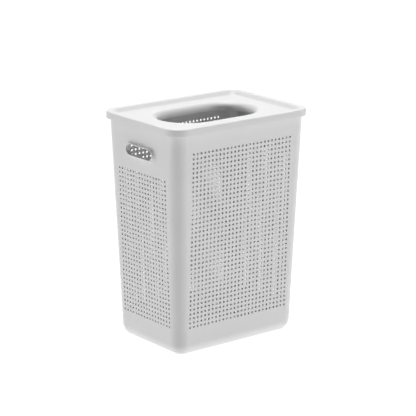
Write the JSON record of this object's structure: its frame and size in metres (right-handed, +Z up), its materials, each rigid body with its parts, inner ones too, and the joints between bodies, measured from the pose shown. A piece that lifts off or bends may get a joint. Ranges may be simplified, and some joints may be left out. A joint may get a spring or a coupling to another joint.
{
  "type": "laundry hamper with lid",
  "caption": "Tall rectangular laundry hamper: tapered tub with perforated walls and a hand slot at each end, and a lift-off lid with a raised border and a large stadium-shaped mouth.",
  "frame": {"origin": "centre of the tub's base, on the floor", "axes": "+Z up, +X along the long walls towards the right handle, +Y from the front wall to the back wall"},
  "size_m": [0.4448, 0.3228, 0.603],
  "materials": {
    "tub_plastic": "satin white moulded polypropylene",
    "lid_plastic": "satin white moulded polypropylene"
  },
  "bodies": {
    "tub": {"tub_base": "tub_plastic", "tub_corner_front_left": "tub_plastic", "tub_corner_front_right": "tub_plastic", "tub_corner_back_left": "tub_plastic", "tub_corner_back_right": "tub_plastic", "front_wall": "tub_plastic", "back_wall": "tub_plastic", "left_wall": "tub_plastic", "right_wall": "tub_plastic", "left_handle": "tub_plastic", "right_handle": "tub_plastic", "tub_rim": "tub_plastic"},
    "lid": {"lid_rim": "lid_plastic", "lid_panel": "lid_plastic", "lid_mouth": "lid_plastic"}
  },
  "joints": [
    {"name": "lid_lift", "type": "slide", "parent": "tub", "child": "lid", "axis": [0, 0, 1], "range_m": [0, 0.09]}
  ]
}
